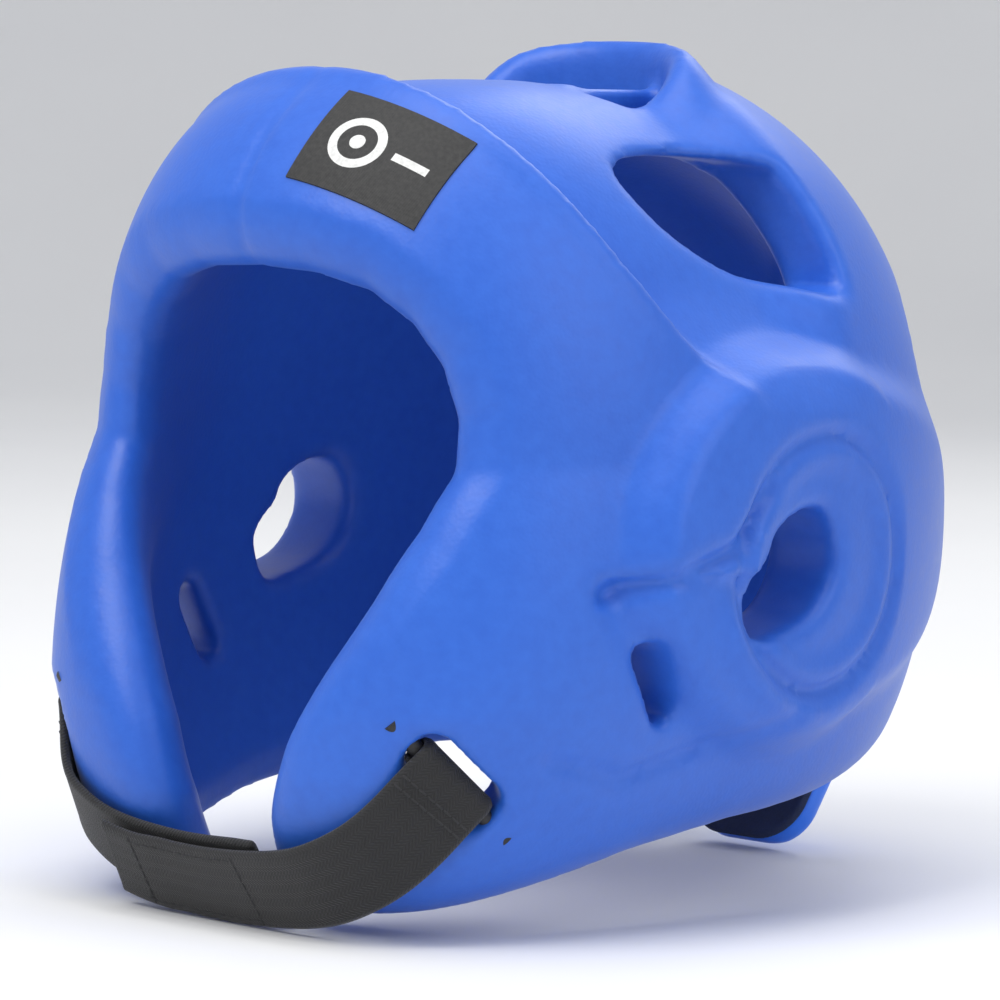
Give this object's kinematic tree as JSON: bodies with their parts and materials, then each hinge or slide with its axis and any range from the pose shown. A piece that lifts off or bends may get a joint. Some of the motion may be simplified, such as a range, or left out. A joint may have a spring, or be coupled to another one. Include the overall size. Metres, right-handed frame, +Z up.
{
  "type": "boxing headgear",
  "caption": "Open-face moulded foam boxing headgear with vented crown, ear holes and a hook-and-loop chin strap.",
  "frame": {"origin": "middle of the bounding box, on the plane the headgear stands on", "axes": "+Z up, the face opening looks towards -Y, the wearer's left is towards +X"},
  "size_m": [0.2154, 0.2578, 0.2305],
  "materials": {
    "foam": "satin, fine pebble grain",
    "label": "woven",
    "bar": "matte",
    "webbing": "woven",
    "thread": "twisted",
    "hook_and_loop": "napped",
    "tab_backing": "woven",
    "tab_pad": "satin"
  },
  "bodies": {
    "shell": {"foam_shell": "foam", "forehead_label": "label", "left_slot_bar": "bar", "right_slot_bar": "bar"},
    "left_strap": {"left_chin_strap": "webbing", "left_strap_stitching": "thread", "hook_patch": "hook_and_loop"},
    "right_strap": {"right_chin_strap": "webbing", "right_strap_stitching": "thread", "loop_patch": "hook_and_loop"},
    "nape": {"nape_tab": "tab_backing", "nape_tab_pad": "tab_pad", "nape_stitching": "thread"}
  },
  "joints": [
    {"name": "left_strap_hinge", "type": "hinge", "parent": "shell", "child": "left_strap", "pos_m": [0.06891, -0.10209, 0.04429], "axis": [-0.3282, -0.6449, 0.6902], "range_deg": [0, 100]},
    {"name": "right_strap_hinge", "type": "hinge", "parent": "shell", "child": "right_strap", "pos_m": [-0.06891, -0.10209, 0.04429], "axis": [-0.3282, 0.6449, -0.6902], "range_deg": [0, 50]},
    {"name": "nape_tab_hinge", "type": "hinge", "parent": "shell", "child": "nape", "pos_m": [0, 0.12124, 0.04606], "axis": [1, 0, 0], "range_deg": [0, 70]}
  ],
  "couplings": [
    {"joint": "right_strap_hinge", "follows": "left_strap_hinge", "ratio": 0.5}
  ]
}
